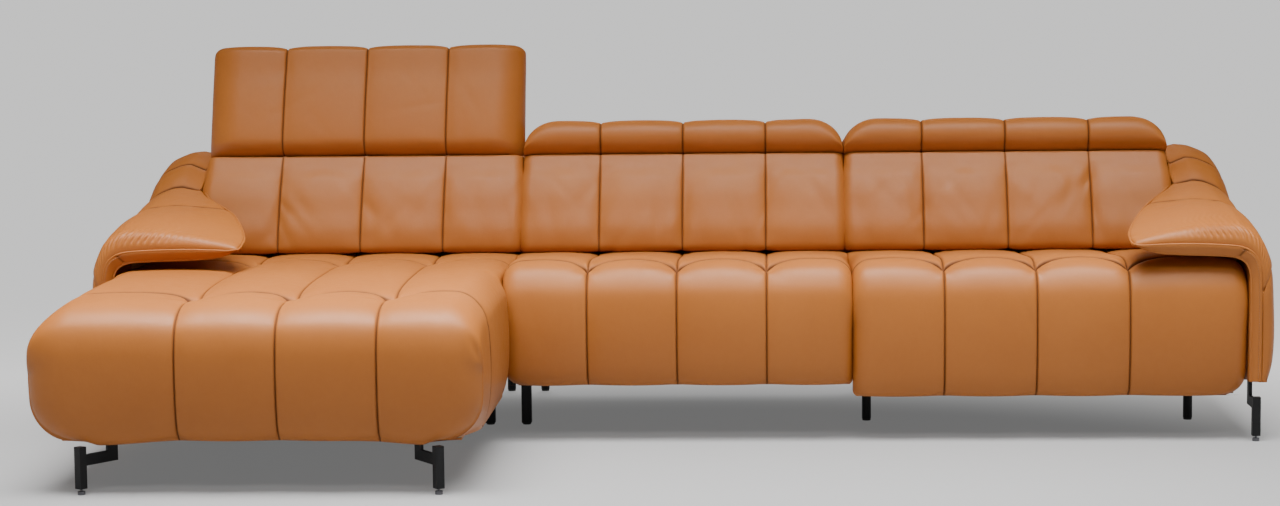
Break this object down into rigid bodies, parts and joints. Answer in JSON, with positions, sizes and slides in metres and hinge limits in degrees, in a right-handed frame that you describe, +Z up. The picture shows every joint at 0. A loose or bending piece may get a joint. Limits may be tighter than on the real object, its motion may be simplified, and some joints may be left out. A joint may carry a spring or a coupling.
{
  "type": "chaise sofa",
  "caption": "Leather chaise sofa in joined units, with channelled tufted seats and backs, wing-like arm pads, folding ratchet headrests and black metal legs.",
  "frame": {"origin": "on the floor, below the middle of the whole sofa's bounding box", "axes": "+X along the sofa to its right end as seen from the front, +Y from the front to the rear, +Z up"},
  "size_m": [3.0144, 1.644, 1.001],
  "materials": {
    "leather": "soft satin, fine grain",
    "frame_wood": "planed softwood and plywood",
    "hinge_steel": "zinc plated",
    "black_steel": "black powder coat",
    "foot_steel": "plated",
    "glide_plastic": "matt",
    "webbing": "woven elastic",
    "dust_cloth": "non-woven"
  },
  "bodies": {
    "sofa": {"back_webbing": "webbing", "chaise_back_cushion": "leather", "chaise_back_frame": "frame_wood", "chaise_base_frame": "frame_wood", "chaise_deck_pad": "leather", "chaise_hinge_brackets": "hinge_steel", "chaise_rear_panel": "leather", "chaise_seat_cushion": "leather", "chaise_seat_front": "leather", "chaise_seat_sides": "leather", "dust_covers": "dust_cloth", "front_leg_inner": "black_steel", "front_leg_left": "black_steel", "front_leg_right": "black_steel", "left_arm_frame": "frame_wood", "left_arm_front_panel": "leather", "left_arm_pad": "leather", "left_arm_side": "leather", "leg_glides": "glide_plastic", "levelling_feet": "foot_steel", "middle_back_cushion": "leather", "middle_back_frame": "frame_wood", "middle_base_frame": "frame_wood", "middle_deck_pad": "leather", "middle_hinge_brackets": "hinge_steel", "middle_rear_panel": "leather", "middle_seat_cushion": "leather", "middle_seat_front": "leather", "rear_legs": "black_steel", "right_arm_frame": "frame_wood", "right_arm_front_panel": "leather", "right_arm_pad": "leather", "right_arm_side": "leather", "right_back_cushion": "leather", "right_back_frame": "frame_wood", "right_base_frame": "frame_wood", "right_deck_pad": "leather", "right_hinge_brackets": "hinge_steel", "right_rear_panel": "leather", "right_seat_cushion": "leather", "right_seat_front": "leather", "round_legs": "black_steel", "seat_webbing": "webbing", "square_legs": "black_steel", "unit_connectors": "hinge_steel"},
    "chaise_headrest": {"chaise_headrest_cushion": "leather", "chaise_headrest_frame": "frame_wood", "chaise_headrest_arms": "hinge_steel", "chaise_hinge_pins": "hinge_steel"},
    "middle_headrest": {"middle_headrest_cushion": "leather", "middle_headrest_frame": "frame_wood", "middle_headrest_arms": "hinge_steel", "middle_hinge_pins": "hinge_steel"},
    "right_headrest": {"right_headrest_cushion": "leather", "right_headrest_frame": "frame_wood", "right_headrest_arms": "hinge_steel", "right_hinge_pins": "hinge_steel"}
  },
  "joints": [
    {"name": "chaise_headrest_hinge", "type": "hinge", "parent": "sofa", "child": "chaise_headrest", "pos_m": [-0.88, 0.531, 0.74], "axis": [1, 0, 0], "range_deg": [-75, 0]},
    {"name": "middle_headrest_hinge", "type": "hinge", "parent": "sofa", "child": "middle_headrest", "pos_m": [0, 0.531, 0.74], "axis": [1, 0, 0], "range_deg": [0, 75]},
    {"name": "right_headrest_hinge", "type": "hinge", "parent": "sofa", "child": "right_headrest", "pos_m": [0.88, 0.531, 0.74], "axis": [1, 0, 0], "range_deg": [0, 75]}
  ]
}
